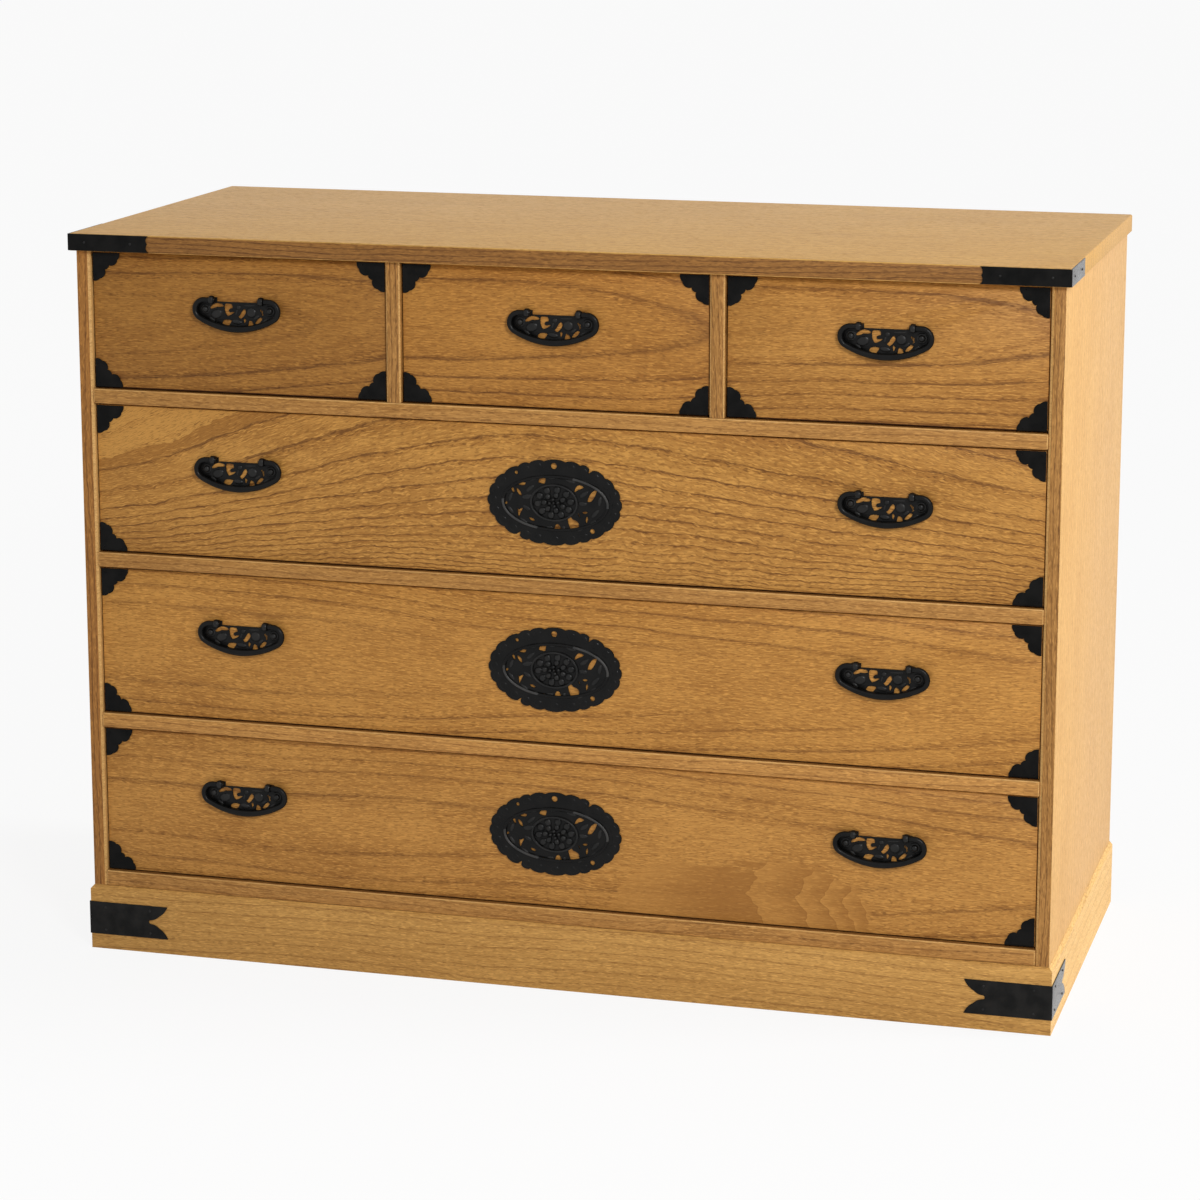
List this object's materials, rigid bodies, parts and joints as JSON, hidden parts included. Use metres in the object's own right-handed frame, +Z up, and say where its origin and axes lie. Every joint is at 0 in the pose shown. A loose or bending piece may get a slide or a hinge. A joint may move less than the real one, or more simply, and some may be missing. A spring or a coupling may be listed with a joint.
{
  "type": "clothing chest",
  "caption": "Low wooden clothing chest: small drawers over wide ones, a plinth, black iron straps, corner plates, pierced oval plates and bail handles.",
  "frame": {"origin": "on the floor, under the middle of the whole chest's bounding box", "axes": "+X along the front to the right as seen from the front, +Y to the back, +Z up"},
  "size_m": [1.0024, 0.4432, 0.745],
  "materials": {
    "drawer_front_wood": "oiled, open grain",
    "carcass_wood": "oiled, open grain",
    "inner_wood": "bare, planed",
    "black_iron": "matt black, lacquered"
  },
  "bodies": {
    "carcass": {"back_panel": "inner_wood", "bottom_rail": "carcass_wood", "drawer_stops": "inner_wood", "floor_board": "inner_wood", "left_side_panel": "carcass_wood", "lower_rail": "carcass_wood", "lower_shelf": "inner_wood", "middle_rail": "carcass_wood", "middle_shelf": "inner_wood", "plinth_corner_straps": "black_iron", "plinth_front": "carcass_wood", "plinth_sides_and_back": "carcass_wood", "right_side_panel": "carcass_wood", "small_drawer_dividers": "carcass_wood", "top_board": "carcass_wood", "top_corner_straps": "black_iron", "upper_rail": "carcass_wood", "upper_shelf": "inner_wood"},
    "lower_drawer": {"lower_drawer_bottom": "inner_wood", "lower_drawer_box": "inner_wood", "lower_drawer_corner_plates": "black_iron", "lower_drawer_front": "drawer_front_wood", "lower_drawer_handle_plates": "black_iron", "lower_drawer_oval_plate": "black_iron"},
    "lower_drawer_left_bail": {"lower_drawer_left_bail": "black_iron"},
    "lower_drawer_right_bail": {"lower_drawer_right_bail": "black_iron"},
    "middle_drawer": {"middle_drawer_bottom": "inner_wood", "middle_drawer_box": "inner_wood", "middle_drawer_corner_plates": "black_iron", "middle_drawer_front": "drawer_front_wood", "middle_drawer_handle_plates": "black_iron", "middle_drawer_oval_plate": "black_iron"},
    "middle_drawer_left_bail": {"middle_drawer_left_bail": "black_iron"},
    "middle_drawer_right_bail": {"middle_drawer_right_bail": "black_iron"},
    "upper_drawer": {"upper_drawer_bottom": "inner_wood", "upper_drawer_box": "inner_wood", "upper_drawer_corner_plates": "black_iron", "upper_drawer_front": "drawer_front_wood", "upper_drawer_handle_plates": "black_iron", "upper_drawer_oval_plate": "black_iron"},
    "upper_drawer_left_bail": {"upper_drawer_left_bail": "black_iron"},
    "upper_drawer_right_bail": {"upper_drawer_right_bail": "black_iron"},
    "left_small_drawer": {"left_small_drawer_bottom": "inner_wood", "left_small_drawer_box": "inner_wood", "left_small_drawer_corner_plates": "black_iron", "left_small_drawer_front": "drawer_front_wood", "left_small_drawer_handle_plates": "black_iron"},
    "left_small_drawer_bail": {"left_small_drawer_bail": "black_iron"},
    "middle_small_drawer": {"middle_small_drawer_bottom": "inner_wood", "middle_small_drawer_box": "inner_wood", "middle_small_drawer_corner_plates": "black_iron", "middle_small_drawer_front": "drawer_front_wood", "middle_small_drawer_handle_plates": "black_iron"},
    "middle_small_drawer_bail": {"middle_small_drawer_bail": "black_iron"},
    "right_small_drawer": {"right_small_drawer_bottom": "inner_wood", "right_small_drawer_box": "inner_wood", "right_small_drawer_corner_plates": "black_iron", "right_small_drawer_front": "drawer_front_wood", "right_small_drawer_handle_plates": "black_iron"},
    "right_small_drawer_bail": {"right_small_drawer_bail": "black_iron"}
  },
  "joints": [
    {"name": "lower_drawer_slide", "type": "slide", "parent": "carcass", "child": "lower_drawer", "axis": [0, -1, 0], "range_m": [0, 0.34]},
    {"name": "lower_drawer_left_bail_hinge", "type": "hinge", "parent": "lower_drawer", "child": "lower_drawer_left_bail", "pos_m": [-0.328, -0.2138, 0.1853], "axis": [-1, 0, 0], "range_deg": [0, 170]},
    {"name": "lower_drawer_right_bail_hinge", "type": "hinge", "parent": "lower_drawer", "child": "lower_drawer_right_bail", "pos_m": [0.328, -0.2138, 0.1853], "axis": [-1, 0, 0], "range_deg": [0, 170]},
    {"name": "middle_drawer_slide", "type": "slide", "parent": "carcass", "child": "middle_drawer", "axis": [0, -1, 0], "range_m": [0, 0.34]},
    {"name": "middle_drawer_left_bail_hinge", "type": "hinge", "parent": "middle_drawer", "child": "middle_drawer_left_bail", "pos_m": [-0.328, -0.2138, 0.3533], "axis": [-1, 0, 0], "range_deg": [0, 170]},
    {"name": "middle_drawer_right_bail_hinge", "type": "hinge", "parent": "middle_drawer", "child": "middle_drawer_right_bail", "pos_m": [0.328, -0.2138, 0.3533], "axis": [-1, 0, 0], "range_deg": [0, 170]},
    {"name": "upper_drawer_slide", "type": "slide", "parent": "carcass", "child": "upper_drawer", "axis": [0, -1, 0], "range_m": [0, 0.34]},
    {"name": "upper_drawer_left_bail_hinge", "type": "hinge", "parent": "upper_drawer", "child": "upper_drawer_left_bail", "pos_m": [-0.328, -0.2138, 0.5213], "axis": [-1, 0, 0], "range_deg": [0, 170]},
    {"name": "upper_drawer_right_bail_hinge", "type": "hinge", "parent": "upper_drawer", "child": "upper_drawer_right_bail", "pos_m": [0.328, -0.2138, 0.5213], "axis": [-1, 0, 0], "range_deg": [0, 170]},
    {"name": "left_small_drawer_slide", "type": "slide", "parent": "carcass", "child": "left_small_drawer", "axis": [0, -1, 0], "range_m": [0, 0.34]},
    {"name": "left_small_drawer_bail_hinge", "type": "hinge", "parent": "left_small_drawer", "child": "left_small_drawer_bail", "pos_m": [-0.32593, -0.2138, 0.6826], "axis": [-1, 0, 0], "range_deg": [0, 170]},
    {"name": "middle_small_drawer_slide", "type": "slide", "parent": "carcass", "child": "middle_small_drawer", "axis": [0, -1, 0], "range_m": [0, 0.34]},
    {"name": "middle_small_drawer_bail_hinge", "type": "hinge", "parent": "middle_small_drawer", "child": "middle_small_drawer_bail", "pos_m": [0, -0.2138, 0.6826], "axis": [-1, 0, 0], "range_deg": [0, 170]},
    {"name": "right_small_drawer_slide", "type": "slide", "parent": "carcass", "child": "right_small_drawer", "axis": [0, -1, 0], "range_m": [0, 0.34]},
    {"name": "right_small_drawer_bail_hinge", "type": "hinge", "parent": "right_small_drawer", "child": "right_small_drawer_bail", "pos_m": [0.32593, -0.2138, 0.6826], "axis": [-1, 0, 0], "range_deg": [0, 170]}
  ]
}
